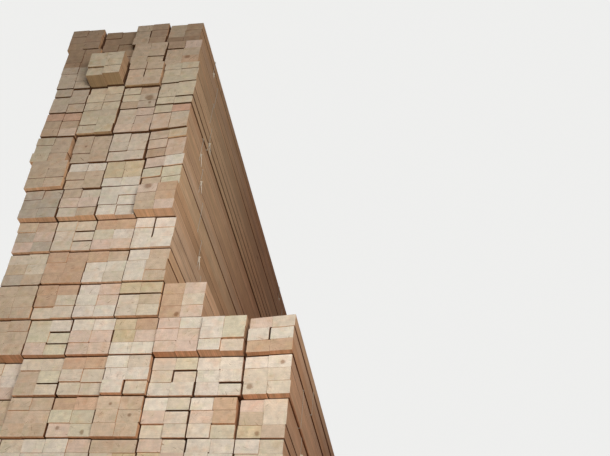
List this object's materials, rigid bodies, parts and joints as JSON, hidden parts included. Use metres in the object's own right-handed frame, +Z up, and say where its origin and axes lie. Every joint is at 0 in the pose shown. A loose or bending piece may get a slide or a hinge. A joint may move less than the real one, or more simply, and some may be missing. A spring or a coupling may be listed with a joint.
{
  "type": "stack of sawn battens",
  "caption": "Stack of sawn softwood battens in small twine-tied bundles, laid in straight rows; low at one side, stepping up to a tall tower at the other.",
  "frame": {"origin": "under the middle of the stack, on the level that it lies on", "axes": "+Z up; +Y along the battens, away from the ends that the picture shows; +X across the stack, towards its low, stepped side"},
  "size_m": [0.9498, 3.1752, 1.7366],
  "materials": {
    "softwood": "rough sawn, unplaned",
    "twine": "thin baling twine"
  },
  "bodies": {
    "root": {"battens_row_01": "softwood", "battens_row_02": "softwood", "battens_row_03": "softwood", "battens_row_04": "softwood", "battens_row_05": "softwood", "battens_row_06": "softwood", "battens_row_07": "softwood", "battens_row_08": "softwood", "battens_row_09": "softwood", "battens_row_10": "softwood", "battens_row_11": "softwood", "battens_row_12": "softwood", "battens_row_13": "softwood", "battens_row_14": "softwood", "battens_row_15": "softwood", "twine_row_01": "twine", "twine_row_02": "twine", "twine_row_03": "twine", "twine_row_04": "twine", "twine_row_05": "twine", "twine_row_06": "twine", "twine_row_07": "twine", "twine_row_08": "twine", "twine_row_09": "twine", "twine_row_10": "twine", "twine_row_11": "twine", "twine_row_12": "twine", "twine_row_13": "twine", "twine_row_14": "twine", "twine_row_15": "twine"}
  },
  "joints": []
}
